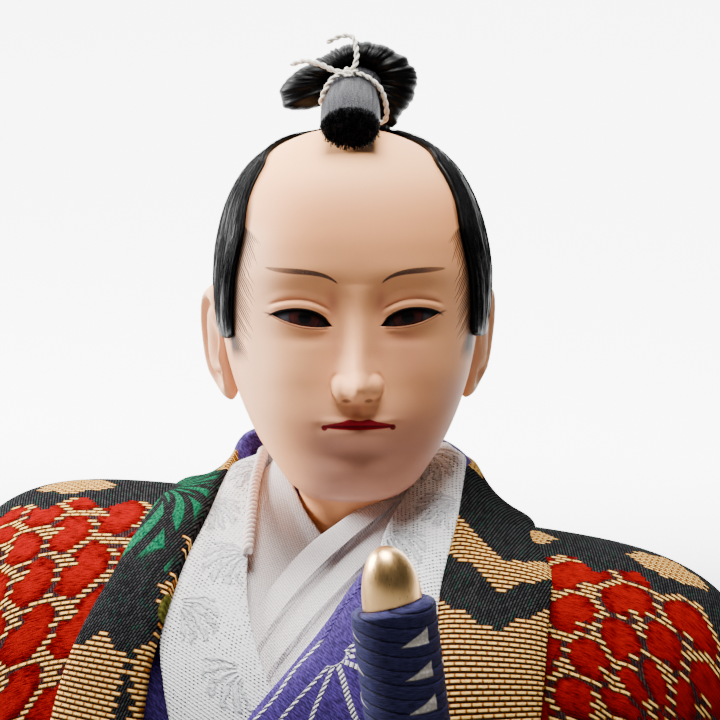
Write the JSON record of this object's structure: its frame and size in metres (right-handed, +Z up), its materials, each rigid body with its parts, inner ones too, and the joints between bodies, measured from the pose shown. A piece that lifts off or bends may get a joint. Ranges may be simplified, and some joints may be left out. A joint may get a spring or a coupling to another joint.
{
  "type": "samurai doll bust",
  "caption": "Head and shoulders of a Japanese samurai doll: shaved pate with a tied topknot, crossed collars, a purple robe, a brocade vest and an upright sword hilt, cut flat below",
  "frame": {"origin": "on the flat underside, below the neck of the doll", "axes": "+Z up; the chest faces -Y and the face is turned a little towards +X; +X is on the viewer's right"},
  "size_m": [0.108, 0.0748, 0.0879],
  "materials": {
    "skin": "smooth matt paint on a moulded head",
    "eye": "polished dark glass eye",
    "hair": "combed black silk thread",
    "tie_cord": "twisted off-white cord",
    "white_cloth": "thin plain-weave cloth",
    "purple_cloth": "twill with white woven lines",
    "white_brocade": "white brocade with silver-grey figures",
    "red_brocade": "red and gold brocade on black",
    "black_brocade": "black brocade with gold, green and red figures",
    "grip_wrap": "navy braided wrap over pale skin",
    "gilt_metal": "brushed gilt"
  },
  "bodies": {
    "root": {"head": "skin", "left_eye": "eye", "right_eye": "eye", "hair": "hair", "topknot": "hair", "topknot_tie": "tie_cord", "inner_collar": "white_cloth", "robe": "purple_cloth", "brocade_collar": "white_brocade", "vest": "red_brocade", "vest_collar": "black_brocade", "sword_grip": "grip_wrap", "sword_pommel": "gilt_metal"}
  },
  "joints": []
}
